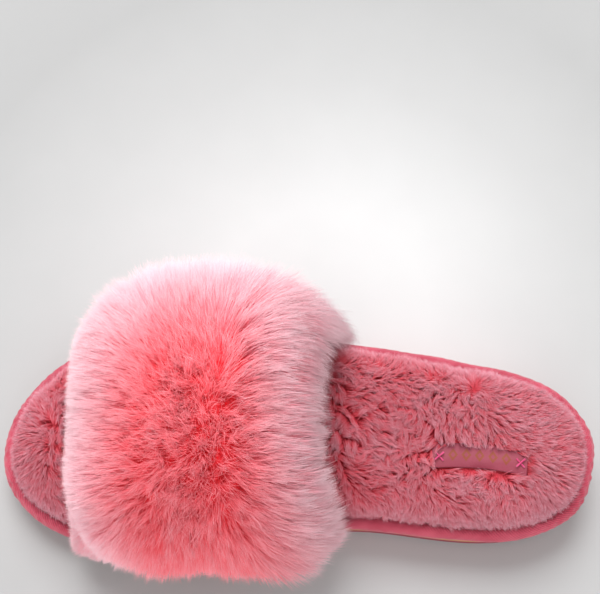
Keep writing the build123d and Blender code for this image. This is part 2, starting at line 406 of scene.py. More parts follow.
def mottled_material(name, roughness, dark, light, grain, relief, stretch=None, **sockets):
    """Two colours mixed by noise, over a bump.

    grain is a noise's scale and detail; relief is both, then the bump's strength and distance."""
    n = Nodes(name, roughness, **sockets)
    place = n.place()
    n.colour(n.ramp(n.noise(place, *grain), [(0.3, srgb(*dark)), (0.7, srgb(*light))]))
    scale, detail, strength, distance = relief
    if stretch:
        place = n.scaled(place, stretch)
    n.bump(n.noise(place, scale, detail), strength, distance)
    return n.material


# ---------------------------------------------------------------- fibres

FIBRE_SIDES = 3
UV_SPREAD = 0.004              # half the width of a fibre in its UV map, so that no face is empty
TONE_LIMITS = (0.02, 0.98)


def fibre_count(full):
    return full // 1


def fibre_radius(radius, count):
    return np.full(count, radius) * 1.0


def steps_along(*shares):
    """Shares of a fibre's length, shaped to multiply (fibre, point, xyz)."""
    return np.array(shares)[None, :, None]


def bent_lines(root, middle, tip, t):
    """Curves (fibre, point, xyz) from root to tip, drawn towards middle."""
    return root[:, None] * (1 - t) ** 2 + middle[:, None] * 2 * t * (1 - t) + tip[:, None] * t ** 2


def fibre_meshes(name, curve_points, outward, soft, radius, profile, tone, pieces, material):
    """Tapered three-sided fibres along curve_points (fibre, point, xyz), split over pieces.

    At soft 1 they shade like a surface that faces outward, at 0 each shades alone."""
    random = np.random.default_rng(SEED + len(name))
    count, steps, _ = curve_points.shape
    axis = unit(curve_points[:, -1] - curve_points[:, 0])
    side = unit(np.cross(axis, unit(random.normal(size=(count, 3)))))
    other = np.cross(axis, side)
    turns = np.arange(FIBRE_SIDES) * 2 * math.pi / FIBRE_SIDES
    ring = (side[:, None] * np.cos(turns)[None, :, None]
            + other[:, None] * np.sin(turns)[None, :, None])
    thick = radius[:, None, None, None] * np.asarray(profile)[None, :, None, None]
    body = curve_points[:, :-1, None] + ring[:, None] * thick
    body = body.reshape(count, -1, 3)
    vertices = np.concatenate([body, curve_points[:, -1:]], 1)
    per_fibre = vertices.shape[1]
    facing = np.broadcast_to(ring[:, None], (count, steps - 1) + ring.shape[1:])
    facing = facing.reshape(count, -1, 3)
    facing = np.concatenate([facing, axis[:, None]], 1)
    normals = unit(mix(facing, np.broadcast_to(outward[:, None], facing.shape), soft))
    along = np.repeat(np.linspace(0, 1, steps)[:-1], FIBRE_SIDES)
    along = np.append(along, 1.0)
    across = np.append(np.tile([-UV_SPREAD, 0.0, UV_SPREAD], steps - 1), 0.0)
    base_quads = grid_faces(steps - 1, FIBRE_SIDES, wrap_columns=True)
    last = (steps - 2) * FIBRE_SIDES
    tips = np.array([[last + k, last + (k + 1) % FIBRE_SIDES, per_fibre - 1]
                     for k in range(FIBRE_SIDES)])
    made = []
    for k, chosen in enumerate(np.array_split(np.arange(count), pieces)):
        offset = (np.arange(len(chosen)) * per_fibre)[:, None, None]
        quads = (base_quads[None] + offset).reshape(-1, 4)
        triangles = (tips[None] + offset).reshape(-1, 3)
        u = np.clip(tone[chosen], *TONE_LIMITS)[:, None] + across[None]
        uv = np.stack([u, np.broadcast_to(0.01 + 0.98 * along, u.shape)], -1).reshape(-1, 2)
        obj = add_mesh(f"{name}_{k + 1}", vertices[chosen].reshape(-1, 3), [quads, triangles],
                       {"OFBake": uv})
        obj.data.normals_split_custom_set_from_vertices(normals[chosen].reshape(-1, 3))
        made.append(finish_piece(obj, material))
    return made


def clump_centres(u, v, cells_u, cells_v, seed):
    """Nearest centre of a jittered lattice for each (u, v): the centre's u, v and its number."""
    random = np.random.default_rng(seed)
    shape = (cells_u + 4, cells_v + 4)
    jitter = random.uniform(0.05, 0.95, size=shape + (2,))
    x = u * cells_u
    y = v * cells_v
    best = np.full(len(u), np.inf)
    centre = np.zeros((len(u), 2))
    number = np.zeros(len(u), int)
    for du in (-1, 0, 1):
        for dv in (-1, 0, 1):
            i = np.floor(x).astype(int) + du
            j = np.floor(y).astype(int) + dv
            cell = (np.clip(i + 2, 0, shape[0] - 1), np.clip(j + 2, 0, shape[1] - 1))
            cx = i + jitter[cell][:, 0]
            cy = j + jitter[cell][:, 1]
            distance = (cx - x) ** 2 + (cy - y) ** 2
            nearer = distance < best
            best = np.where(nearer, distance, best)
            centre[nearer] = np.stack([cx / cells_u, cy / cells_v], -1)[nearer]
            number = np.where(nearer, cell[0] * shape[1] + cell[1], number)
    return centre, number


# ---------------------------------------------------------------- strap: pile rooted on its arch

STRAP_FRONT_LEAN = 0.087       # the strap's edges lean in as they rise, front and rear
STRAP_REAR_LEAN = 0.136
STRAP_CORE_Z = 20 * MM         # rays that find the arch start on this height
ARCH_DIP = 8                   # degrees by which they reach below it
ARCH_INSET = 0.6 * MM          # they stay this far from the strap's front and rear edges
ARCH_RAYS = 241
ARCH_ROWS = 31
ARCH_COLUMNS = 121


def strap_arch():
    """Points on the strap's outer cloth: rows front to rear, columns inner to outer side."""
    tree = cad_tree("strap_interlining")
    low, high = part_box("strap_interlining")
    foot_z = low.z
    rows = []
    for share in np.linspace(0.0, 1.0, ARCH_ROWS):
        points = []
        z = STRAP_CORE_Z
        for angle in np.linspace(-ARCH_DIP, 180 + ARCH_DIP, ARCH_RAYS):
            way = Vector((math.cos(math.radians(angle)), 0, math.sin(math.radians(angle))))
            for _ in range(3):
                front = low.y + (z - foot_z) * STRAP_FRONT_LEAN + ARCH_INSET
                rear = high.y - (z - foot_z) * STRAP_REAR_LEAN - ARCH_INSET
                y = front + (rear - front) * share
                left, right = widths_at(y, 0)
                start = Vector(((left + right) / 2, y, STRAP_CORE_Z))
                hit = tree.ray_cast(start + way * 0.3, -way, 0.3)[0]
                if hit is None:
                    break
                z = hit.z
            if hit is not None:
                points.append(hit)
        points = np.array(points)
        along = running_length(points)
        rows.append(read_along(points, along, np.linspace(0, along[-1], ARCH_COLUMNS)))
    return blurred(np.array(rows), 2)


ARCH = strap_arch()
ARCH_NORMAL = grid_normals(ARCH, UP)

FAN_FRONT = 62                 # degrees by which the pile leans forward at the front edge
FAN_REAR = 118                 # and backward at the rear edge
FAN_REAR_EASE = 20             # less at the two rear corners
FAN_INNER_EASE = 0.75          # share of the forward lean that the inner side loses
FAN_POWER = 1.4                # above 1, the lean gathers near the edges
FAN_HEM = 60                   # and downward at both hems
HEM_POWER = 1.2
UNDERCOAT = 17 * MM            # depth of the dense pile at the roots
UNDERCOAT_SHARE = 0.5          # of the pile's length, at most
PILE_START = 0.8 * MM          # rays that find the pile's length start this far over the arch
PILE_SHORTEST = 10 * MM        # at the front edge
INNER_FRONT_EASE = 0.45        # share of it that is lost at the inner front
PILE_SHORTEST_REAR = 25 * MM   # at the rear edge, where it hangs over the opening
PILE_CORNER = 7 * MM           # longer still at the two rear corners
PILE_SHOULDER = 3.5 * MM       # longer over the strap's outer shoulder
PILE_INNER_FRONT = 1.3         # times as much longer a little behind the inner front edge
PILE_LONGEST = 36 * MM
PILE_REACH_FRONT = 0.92        # share of the room inside the CAD fur that an average fibre fills
PILE_REACH = 1.0
PILE_HEM_EASE = (0.20, 0.15)   # shares of it lost at the inner hem: everywhere, and at its corners
REAR_DROOP = 5 * MM
FRINGE_SHARE = 0.08            # of the fibres, laid forward over the strap's front edge
FRINGE_DEPTH = 0.035           # share of the strap that they grow on
FRINGE_LENGTH = 9 * MM
HEM_START = 0.015              # share of the arch below the first row of pile


def strap_pile_field():
    """Direction and length of the pile on the arch grid, out to the CAD fur's outer face."""
    u = np.linspace(0, 1, ARCH_ROWS)[:, None]
    v = np.linspace(0, 1, ARCH_COLUMNS)[None, :]
    corner = smooth_step(0.62, 0.8, v) + 1 - smooth_step(0.16, 0.34, v)
    inner_side = 1 - smooth_step(0.15, 0.5, v)
    backward = (FAN_REAR - FAN_REAR_EASE * corner) * smooth_step(0.56, 1.06, u) ** FAN_POWER
    forward = FAN_FRONT * (1 - FAN_INNER_EASE * inner_side) * (
        1 - smooth_step(0.0, 0.54, u)) ** FAN_POWER
    lean = np.radians(backward - forward)[..., None]
    hem = np.radians(FAN_HEM) * ((1 - smooth_step(0.02, 0.3, v)) ** HEM_POWER
                                 + smooth_step(0.7, 0.98, v) ** HEM_POWER)[..., None]
    direction = (ARCH_NORMAL * np.cos(lean) * np.cos(hem) + np.array([0, 1, 0]) * np.sin(lean)
                 - UP * np.sin(hem) * (1 - 0.6 * np.abs(np.sin(lean))))
    direction = unit(blurred(unit(direction), 2))
    tree = cad_tree("strap_fur")
    length = np.zeros(ARCH.shape[:2])
    for i in range(ARCH_ROWS):
        for j in range(ARCH_COLUMNS):
            start = ARCH[i, j] + ARCH_NORMAL[i, j] * PILE_START
            hit = tree.ray_cast(Vector(start), Vector(direction[i, j]), 0.1)
            length[i, j] = hit[3] if hit[0] is not None else PILE_SHORTEST
    inner = smooth_step(0.06, 0.16, v) * (1 - smooth_step(0.3, 0.45, v))
    shortest = PILE_SHORTEST * (1 - INNER_FRONT_EASE * inner * (1 - smooth_step(0.0, 0.15, u)))
    shortest = mix(shortest, PILE_SHORTEST_REAR, smooth_step(0.7, 1.0, u))
    rear_corner = smooth_step(0.75, 1.0, u) * corner * (0.3 + 0.7 * v)
    everywhere, at_corners = PILE_HEM_EASE
    inner_hem = 1 - smooth_step(0.0, 0.14, v)
    reach = mix(PILE_REACH_FRONT, PILE_REACH, smooth_step(0.1, 0.4, u))
    reach = reach * (1 - (everywhere + at_corners * np.abs(2 * u - 1)) * inner_hem)
    shoulder = smooth_step(0.45, 0.62, v) * (1 - smooth_step(0.78, 0.95, v))
    inner_front = inner * smooth_step(0.03, 0.15, u) * (1 - smooth_step(0.35, 0.6, u))
    fuller = shoulder * smooth_step(0.02, 0.2, u) + PILE_INNER_FRONT * inner_front
    length = length * reach + PILE_SHOULDER * fuller
    length = np.clip(length, shortest + PILE_CORNER * rear_corner, PILE_LONGEST)
    return direction, blurred(length, 4)


PILE_DIRECTION, PILE_LENGTH = strap_pile_field()

FUR_FIBRES = 96000
FUR_PIECES = 8
FUR_RADIUS = 0.16 * MM
FUR_SOFTNESS = 0.65            # of the shading, see fibre_meshes
FUR_UPLIGHT = 0.55             # how far that shading turns up to the light
CLUMPS_ALONG = 44              # tip clumps from the strap's front to its rear
CLUMPS_ACROSS = 92             # and over the arch
LOCKS_ALONG = 9                # looser, larger locks
LOCKS_ACROSS = 20
TIP_SCATTER = 0.14             # of each fibre's own way
CLUMP_SCATTER = (0.10, 0.18)   # of a clump's way: everywhere, and more in the middle
LOCK_SCATTER = 0.09
FLYAWAY_SHARE = 0.06           # of the fibres, that join no clump
DEEPEST_U = 0.58               # where the deepest red lies on the arch
DEEPEST_V = 0.42


def fur_curves(count, seed):
    """Centre lines of the strap's fibres (fibre, point, xyz), their ways and their tones."""
    random = np.random.default_rng(seed)
    share_u = np.linspace(0, 1, ARCH_ROWS)[:, None]
    share_v = np.linspace(0, 1, ARCH_COLUMNS)[None, :]
    crowding = (1 + 1.8 * smooth_step(0.8, 1.0, share_u)
                + 0.5 * (1 - smooth_step(0.0, 0.12, share_u)))
    crowding = crowding * (1 + 1.4 * (1 - smooth_step(0.0, 0.15, share_v))
                           + 1.2 * smooth_step(0.85, 1.0, share_v))
    u, v = random_places(ARCH, crowding, count, random)
    v = HEM_START + (1 - 2 * HEM_START) * v
    fringe = random.uniform(size=count) < FRINGE_SHARE
    u = np.where(fringe, FRINGE_DEPTH * random.uniform(size=count), u)
    centre, clump = clump_centres(u, v, CLUMPS_ALONG, CLUMPS_ACROSS, seed + 1)
    lock = clump_centres(u, v, LOCKS_ALONG, LOCKS_ACROSS, seed + 2)[1]
    root = sample_grid(ARCH, u, v)
    normal = unit(sample_grid(ARCH_NORMAL, u, v))
    way = unit(sample_grid(PILE_DIRECTION, u, v))
    reach = sample_grid(PILE_LENGTH, u, v)
    over_edge = unit(0.15 * normal - np.array([0, 1, 0]) + 0.16 * random.normal(size=(count, 3)))
    laid = np.where(fringe, 1 - 0.65 * random.uniform(size=count) ** 1.5, 0.0)
    reach = mix(reach, FRINGE_LENGTH, laid)
    way = unit(mix(way, over_edge, laid))

    def per_group(group, size):
        table = np.random.default_rng(seed + 5 + size).normal(size=(group.max() + 1, size))
        return table[group]

    clump_u, clump_v = centre.T
    clump_root = sample_grid(ARCH, clump_u, clump_v)
    everywhere, in_middle = CLUMP_SCATTER
    off_middle = np.hypot((u - DEEPEST_U) / 0.5, (v - DEEPEST_V) / 0.42)
    stray = everywhere + in_middle * (1 - smooth_step(0.2, 0.8, off_middle))
    clump_way = unit(unit(sample_grid(PILE_DIRECTION, clump_u, clump_v))
                     + stray[:, None] * per_group(clump, 3)
                     + LOCK_SCATTER * per_group(lock, 4)[:, :3])
    clump_reach = sample_grid(PILE_LENGTH, clump_u, clump_v)
    clump_reach = clump_reach * (1 + 0.06 * per_group(clump, 1)[:, 0]
                                 + 0.03 * per_group(lock, 2)[:, 0])
    clump_tip = clump_root + clump_way * clump_reach[:, None]
    own_tip = root + unit(way + TIP_SCATTER * random.normal(size=(count, 3))) * (
        reach * (1 + 0.07 * random.normal(size=count)))[:, None]
    gather = np.clip(random.normal(0.54, 0.17, count), 0.1, 0.9)
    flyaway = random.uniform(size=count) < FLYAWAY_SHARE
    gather = np.where(flyaway | fringe, 0.0, gather)
    tip = mix(own_tip, clump_tip, gather)
    tip += unit(random.normal(size=(count, 3))) * (0.5 * MM * random.uniform(size=count))[:, None]
    mid_rear = smooth_step(0.6, 1.0, u) ** 2 * (1 - smooth_step(0.2, 0.4, np.abs(v - 0.5)))
    tip -= UP * (REAR_DROOP * mid_rear)[:, None]
    rise = 1 - 0.85 * laid[:, None]
    middle = root + unit(rise * normal + 0.6 * way) * (0.55 * reach)[:, None]
    middle = middle + 0.6 * MM * random.normal(size=(count, 3))
    curves = bent_lines(root, middle, tip, steps_along(0.0, 0.36, 0.7, 1.0))
    # Tone from deep to pale. The deep red reaches far toward the inner hem (the wide radius below
    # DEEPEST_V), and the last term deepens that hem further: painted shade on the inner side, away
    # from the key light.
    from_middle = np.hypot((u - DEEPEST_U) / np.where(u < DEEPEST_U, 0.52, 0.38),
                           (v - DEEPEST_V) / np.where(v < DEEPEST_V, 0.95, 0.38))
    tone = (0.16 + 0.84 * smooth_step(0.35, 1.0, from_middle)
            - 0.18 * (1 - smooth_step(0.05, 0.3, v)))
    tone = tone + 0.09 * random.normal(size=count) + 0.07 * per_group(clump, 1)[:, 0]
    return curves, way, tone


def make_strap_undercoat():
    """Ground cloth of the fur with the dense, dark pile at its roots."""
    rough = waves(ARCH, 4 * MM, SEED) * 0.5 * MM
    rows, columns = [np.minimum(np.linspace(0, 1, size), np.linspace(1, 0, size))
                     for size in (ARCH_ROWS, ARCH_COLUMNS)]
    rows = rows[:, None]
    inward = smooth_step(0.0, 0.35, rows) * smooth_step(0.02, 0.2, columns)
    depth = UNDERCOAT * (0.12 + 0.88 * inward)
    depth = np.minimum(depth, UNDERCOAT_SHARE * PILE_LENGTH)
    outer = ARCH + ARCH_NORMAL * (depth + rough)[..., None]
    obj = closed_shell("strap_fur_ground", outer, ARCH + ARCH_NORMAL * 0.15 * MM)
    material = mottled_material("fur_roots", 0.9, (252, 40, 54), (255, 84, 96), (900.0, 3.0),
                                (1500.0, 3.0, 0.8, 0.001))
    return finish_piece(obj, material, ["strap_fur"])


def make_strap_fur():
    """The long pile, deep red in the middle and pale at the ends, with painted shade deepening it
    toward the inner hem, on its ground cloth.
    """
    ground = make_strap_undercoat()
    material = pile_material(
        "fur_pile",
        [(0.0, 255, 22, 40), (0.45, 255, 54, 68), (0.75, 255, 98, 110), (1.0, 255, 148, 158)],
        [(0.0, 252, 48, 70), (0.40, 255, 120, 136), (0.72, 255, 180, 193), (1.0, 255, 226, 233)],
        Sheen_Weight=0.05)
    count = fibre_count(FUR_FIBRES)
    curves, way, tone = fur_curves(count, SEED)
    pile = fibre_meshes("strap_fur_pile", curves, unit(way + FUR_UPLIGHT * UP), FUR_SOFTNESS,
                        fibre_radius(FUR_RADIUS, count), (1.0, 0.95, 0.62), tone, FUR_PIECES,
                        material)


FOAM_OUTER = 1.1 * MM          # depths below the strap's outer cloth
FOAM_INNER = 3.9 * MM
LINING_INNER = 5.6 * MM
FELT_THICKNESS = 1.0 * MM
LINING_TURN = (                # the lining round the strap's edge: beyond the edge, depth, in mm
    (0.1, -0.4), (0.9, 0.0), (1.5, 1.2), (1.7, 2.8), (1.4, 4.4), (0.7, 5.4))
LINING_THICKNESS = 0.8 * MM
LINING_FIBRES = 36000
LINING_PILE = 1.8 * MM
LINING_RADIUS = 0.13 * MM
LINING_SOFTNESS = 0.7
LINING_PIECES = 2


def make_strap_layers():
    """Felt and foam between the cloths, and the lining turned round the strap's edges."""
    felt = closed_shell("strap_interlining_cloth", ARCH, ARCH - ARCH_NORMAL * FELT_THICKNESS)
    felt_look = mottled_material("interlining_felt", 0.95, (206, 204, 198), (238, 236, 230),
                                 (700.0, 6.0), (1200.0, 3.0, 0.5, 0.0004), stretch=(1.0, 2.5, 1.0))
    finish_piece(felt, felt_look, ["strap_interlining"])
    foam = closed_shell("strap_foam_pad", ARCH - ARCH_NORMAL * FOAM_OUTER,
                        ARCH - ARCH_NORMAL * FOAM_INNER)
    finish_piece(foam, foam_material("padding_foam"), ["strap_foam"])

    forward = unit(ARCH[0] - ARCH[1])
    backward = unit(ARCH[-1] - ARCH[-2])
    front, rear = [
        [ARCH[row] + way * out * MM - ARCH_NORMAL[row] * depth * MM for out, depth in LINING_TURN]
        for row, way in ((0, forward), (-1, backward))]
    face = np.array(front + list(ARCH - ARCH_NORMAL * LINING_INNER) + rear[::-1])
    facing = grid_normals(face, -UP)
    facing[len(front):-len(rear)] = -ARCH_NORMAL
    facing = unit(blurred(facing, 1))
    lining = closed_shell("strap_lining_cloth", face - facing * LINING_THICKNESS, face)
    brushed = mottled_material("lining_brushed", 0.95, (176, 62, 84), (226, 124, 142),
                               (420.0, 5.0), (900.0, 4.0, 0.9, 0.0012), Sheen_Weight=0.5)
    finish_piece(lining, brushed, ["strap_lining"])

    count = fibre_count(LINING_FIBRES)
    random = np.random.default_rng(SEED + 50)
    u, v = random_places(face, np.ones(face.shape[:2]), count, random)
    root = sample_grid(face, u, v)
    normal = unit(sample_grid(facing, u, v))
    lie = waves(root, 25 * MM, SEED + 51)[:, None] * np.array([[0.0, 1.0, 0.3]]) * 0.5
    way = unit(normal + lie + 0.45 * random.normal(size=(count, 3)))
    tip = root + way * (LINING_PILE * (1 + 0.2 * random.normal(size=count)))[:, None]
    t = steps_along(0.0, 0.5, 1.0)
    curves = root[:, None] * (1 - t) + tip[:, None] * t
    tone = 0.4 + 0.2 * random.normal(size=count)
    material = pile_material("lining_pile", [(0.0, 190, 30, 52), (1.0, 222, 104, 122)],
                             [(0.0, 206, 60, 82), (1.0, 240, 156, 170)])
    pile = fibre_meshes("strap_lining_pile", curves, normal, LINING_SOFTNESS,
                        np.full(count, LINING_RADIUS), (1.0, 0.8), tone, LINING_PIECES, material)


def foam_material(name):
    """Padding foam with open cells."""
    n = Nodes(name, 0.95)
    cells = n.add("ShaderNodeTexVoronoi", {"Vector": n.place(), "Scale": 1400.0})
    distance = cells.outputs["Distance"]
    # Darker toward each cell's middle, where the bump sinks: painted shade in the open cells.
    n.colour(n.ramp(distance, [(0.0, srgb(196, 180, 150)), (0.5, srgb(240, 230, 208))]))
    n.bump(distance, 0.6, 0.0005)
    return n.material


make_strap_fur()
make_strap_layers()


# ---------------------------------------------------------------- footbed: foam and curly plush

PLUSH_INSET = 6.1 * MM         # from the wrap's edge, as in the frame
PLUSH_BASE = 5.8 * MM          # above the midsole
FOAM_BASE = 2.3 * MM
FOAM_TOP = 9.0 * MM
FOAM_INSET = 12.0 * MM
CUSHION_ROWS = 181
CUSHION_COLUMNS = 81
END_ROUND = 15 * MM            # length over which a cushion rounds down at the toe and the heel
END_POWER = 2.6                # above 2, it rounds down later and more steeply
FOAM_SQUARENESS = 3.2          # of a cushion's cross-section: 2 is an ellipse
PLUSH_SQUARENESS = 3.4
FIRST_ROW = 0.02               # radians by which the first and last rows miss the cushion's ends


def cushion_grid(inset, base, crown, squareness):
    """Top and bottom of a cushion that fills the plan: rows toe to heel, columns inner to outer."""
    low_y = WRAP_EDGE[:, 1].min() + inset
    high_y = WRAP_EDGE[:, 1].max() - inset
    spread = np.cos(np.linspace(FIRST_ROW, math.pi - FIRST_ROW, CUSHION_ROWS))
    y = (low_y + high_y) / 2 - (high_y - low_y) / 2 * spread
    low_x, high_x = widths_at(y, inset)
    turn = np.linspace(0, math.pi, CUSHION_COLUMNS)[None, :]
    power = 2 / squareness
    across = np.sign(np.cos(turn)) * np.abs(np.cos(turn)) ** power
    rise = np.abs(np.sin(turn)) ** power
    from_end = np.clip(1 - np.minimum(y - low_y, high_y - y) / END_ROUND, 0, 1)
    end = (1 - from_end ** END_POWER) ** (1 / END_POWER)
    x = ((low_x + high_x) / 2)[:, None] + ((high_x - low_x) / 2)[:, None] * across
    bottom = (midsole_top(y) + base)[:, None]
    z = bottom + ((crown(y) - bottom[:, 0]) * end)[:, None] * rise
    y = np.broadcast_to(y[:, None], x.shape)
    return np.stack([x, y, z], -1), np.stack([x, y, np.broadcast_to(bottom, x.shape)], -1)


def make_footbed_foam():
    top, bottom = cushion_grid(FOAM_INSET, FOAM_BASE, lambda y: midsole_top(y) + FOAM_TOP,
                               FOAM_SQUARENESS)
    obj = closed_shell("footbed_foam_pad", top, bottom)
    finish_piece(obj, foam_material("footbed_foam_cells"), ["footbed_foam"])


make_footbed_foam()

PILE_DEPTH = 3.7 * MM          # curly pile above its ground cloth
PILE_STRAND = 6.2 * MM         # length of its fibres
PLUSH_FIBRES = 124000
PLUSH_PIECES = 11
PLUSH_RADIUS = 0.14 * MM
PLUSH_SOFTNESS = 0.85
PLUSH_UPLIGHT = 0.7
PLUSH_FRINGE = 4.6 * MM        # its tips stay this far inside the wrap's edge
PLUSH_TILT = 56                # degrees by which its fibres lie over
PLUSH_CURL = 0.5 * MM
HIDDEN_SHARE = 0.25            # of the full density, under the strap
TUFTS_ALONG = 210
TUFTS_ACROSS = 82
LUMP_SIZE = 26 * MM
LUMP_HEIGHT = 0.35 * MM
SWIRL_SIZE = 62 * MM           # of the combing's large swirls, in turns of about a radian
END_FAN = 1.5                  # how fast the combing fans out round the toe and the heel
LABEL_TILT = math.radians(-5)
LABEL_LENGTH = 40 * MM
LABEL_WIDTH = 10.3 * MM
label_low, label_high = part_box("label")
LABEL_CENTRE = (label_low + label_high) / 2
STRAP_LOW, STRAP_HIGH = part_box("strap_lining")


def on_label(points, margin):
    """Which points lie over the label, seen from above."""
    x = points[..., 0] - LABEL_CENTRE.x
    y = points[..., 1] - LABEL_CENTRE.y
    along = y * math.cos(LABEL_TILT) - x * math.sin(LABEL_TILT)
    aside = x * math.cos(LABEL_TILT) + y * math.sin(LABEL_TILT)
    return (np.abs(along) < LABEL_LENGTH / 2 + margin) & (np.abs(aside) < LABEL_WIDTH / 2 + margin)


def held_inside(points, inset):
    """Points moved inward, in plan, where they lie nearer to the wrap's edge than their inset."""
    tree = KDTree(PLAN_STEPS)
    for i, (x, y) in enumerate(WRAP_EDGE):
        tree.insert((x, y, 0), i)
    tree.balance()
    nearest = np.array([tree.find((x, y, 0))[1] for x, y, _ in points])
    away = ((points[:, :2] - WRAP_EDGE[nearest]) * EDGE_NORMAL[nearest]).sum(-1)
    moved = points.copy()
    moved[:, :2] -= EDGE_NORMAL[nearest] * np.maximum(away + inset, 0)[:, None]
    return moved


def fanned_from(root, y):
    """Ways in plan that fan out from a point of the slipper's axis."""
    return unit(np.stack([(root[:, 0] - AXIS_X) * END_FAN, root[:, 1] - y, 0 * root[:, 0]], -1))


def make_plush():
    """Ground cloth of the footbed's cover and its curly pile, combed in swirls."""
    top, bottom = cushion_grid(PLUSH_INSET, PLUSH_BASE, plush_crown, PLUSH_SQUARENESS)
    facing = grid_normals(top, UP)
    lumps = waves(top[..., :2], LUMP_SIZE, SEED + 3) * LUMP_HEIGHT
    ground = top - facing * (PILE_DEPTH - lumps)[..., None]
    ground[..., 2] = np.maximum(ground[..., 2], bottom[..., 2])
    rough = facing * (waves(top, 3.2 * MM, SEED + 4) * 0.25 * MM)[..., None]
    obj = closed_shell("insole_plush_ground", ground + rough, bottom)
    roots = mottled_material("plush_roots", 0.95, (190, 46, 62), (216, 68, 84), (700.0, 3.0),
                             (1100.0, 3.0, 0.8, 0.001))
    finish_piece(obj, roots, ["insole_plush"])

    count = fibre_count(PLUSH_FIBRES)
    random = np.random.default_rng(SEED + 20)
    hidden = (top[..., 1] > STRAP_LOW.y + 12 * MM) & (top[..., 1] < STRAP_HIGH.y - 18 * MM)
    edge_on = np.abs(np.linspace(-1, 1, CUSHION_COLUMNS))[None, :]
    weight = np.where(hidden, HIDDEN_SHARE, 1.0) * (1 + 0.5 * smooth_step(0.55, 0.95, edge_on))
    u, v = random_places(top, weight, count, random)
    centre, tuft = clump_centres(u, v, TUFTS_ALONG, TUFTS_ACROSS, SEED + 21)
    table = np.random.default_rng(SEED + 22).normal(size=(tuft.max() + 1, 4))[tuft]
    root = sample_grid(ground, u, v)
    normal = unit(sample_grid(facing, u, v))
    tuft_root = sample_grid(ground, centre[:, 0], centre[:, 1])

    swirl = (1.0 * waves(tuft_root[:, :2], SWIRL_SIZE, SEED + 23, 6)
             + 0.5 * waves(tuft_root[:, :2], SWIRL_SIZE / 5, SEED + 24, 8) + 0.35 * table[:, 0])
    combed = np.stack([np.cos(swirl), np.sin(swirl), 0 * swirl], -1)
    from_axis = np.cos(math.pi * v)
    to_heel = smooth_step(HEEL_Y - 70 * MM, HEEL_Y - 25 * MM, root[:, 1])
    to_toe = 1 - smooth_step(TOE_Y + 14 * MM, TOE_Y + 34 * MM, root[:, 1])
    to_edge = smooth_step(0.45, 0.92, np.abs(from_axis)) * (1 - to_heel) * (1 - to_toe)
    edgeward = np.stack([np.sign(from_axis), 0 * swirl, 0 * swirl], -1)
    tangent = unit(combed * (1 - 0.6 * to_heel - 0.75 * to_toe - 0.6 * to_edge)[:, None]
                   + edgeward * (0.9 * to_edge)[:, None]
                   + fanned_from(root, HEEL_Y - 75 * MM) * to_heel[:, None]
                   + fanned_from(root, TOE_Y + 42 * MM) * to_toe[:, None])
    tilt = PLUSH_TILT + 9 * table[:, 1] + 9 * random.normal(size=count)
    tilt = np.radians(np.clip(tilt, 12, 80))
    way = unit(normal * np.cos(tilt)[:, None] + tangent * np.sin(tilt)[:, None])
    reach = PILE_STRAND * (1 + 0.10 * table[:, 2] + 0.12 * random.normal(size=count))
    own_tip = root + way * reach[:, None] + 0.45 * MM * random.normal(size=(count, 3))
    tuft_tip = tuft_root + way * (reach * 1.02)[:, None]
    gather = np.clip(random.normal(0.38, 0.2, count), 0, 0.9)
    tip = mix(own_tip, tuft_tip, gather)
    fringe = PLUSH_FRINGE + 0.9 * MM * table[:, 3] + 0.5 * MM * random.normal(size=count)
    tip = held_inside(tip, fringe)

    t = steps_along(0.0, 0.35, 0.7, 1.0)
    middle = root + normal * (0.5 * reach)[:, None] + tangent * (0.05 * reach)[:, None]
    curves = bent_lines(root, middle, tip, t)
    aside = unit(np.cross(way, normal))
    curl = np.sin(t * (6.0 + 1.5 * table[:, 3][:, None, None]) + 3 * table[:, 0][:, None, None])
    curves = curves + aside[:, None] * curl * t * PLUSH_CURL
    keep = ~on_label(root, -0.4 * MM) & ~on_label(tip, -1.3 * MM)

    # Tone from deep to pale: deeper next to and under the strap, as painted shade from it, and
    # paler toward the toe, the heel and the side edges, as painted light; the rest varies at
    # random.
    from_strap = (smooth_step(STRAP_HIGH.y, HEEL_Y - 20 * MM, root[:, 1])
                  + 1 - smooth_step(TOE_Y + 10 * MM, STRAP_LOW.y + 12 * MM, root[:, 1]))
    tone = (0.25 + 0.5 * from_strap + 0.25 * smooth_step(0.6, 1.0, np.abs(from_axis))
            + 0.12 * random.normal(size=count) + 0.10 * table[:, 2]
            + 0.10 * waves(root[:, :2], 30 * MM, SEED + 25))
    material = pile_material(
        "plush_pile",
        [(0.0, 190, 20, 36), (0.45, 202, 42, 58), (0.78, 200, 82, 96), (1.0, 210, 124, 137)],
        [(0.0, 190, 30, 48), (0.45, 202, 68, 84), (0.78, 204, 124, 138), (1.0, 218, 174, 186)],
        Sheen_Weight=0.05)
    shading = unit(normal + PLUSH_UPLIGHT * UP)
    fibre_meshes("insole_plush_pile", curves[keep], shading[keep], PLUSH_SOFTNESS,
                 fibre_radius(PLUSH_RADIUS, count)[keep], (1.0, 0.95, 0.7), tone[keep],
                 PLUSH_PIECES, material)


make_plush()


# ---------------------------------------------------------------- edge wrap

WRAP_PROFILE = (               # outward from the wrap's edge, above the midsole, in mm
    (-11.0, 0.05), (-6.0, 0.05), (-2.8, -0.2), (-1.2, -0.25), (-0.1, 2.2), (0.15, 4.0), (-0.5, 5.7),
    (-1.9, 7.0), (-3.7, 7.4), (-5.3, 6.7), (-6.0, 5.4), (-5.2, 4.9), (-3.7, 6.2), (-2.2, 5.8),
    (-1.4, 4.0), (-1.8, 2.0), (-3.0, 0.75), (-11.0, 0.75))
WRAP_LOOPS = 1500
PROFILE_STEPS = 3              # mesh rows per profile point
PROFILE_SMOOTHING = 3          # passes over the profile
PROFILE_CORE = (-3.4, 3.6)     # the point of the profile that its folds stand away from, in mm
PUCKER = 0.05                  # depth of the fine folds in mm, along the sides
PUCKER_ENDS = 0.10             # and deeper round the toe and the heel


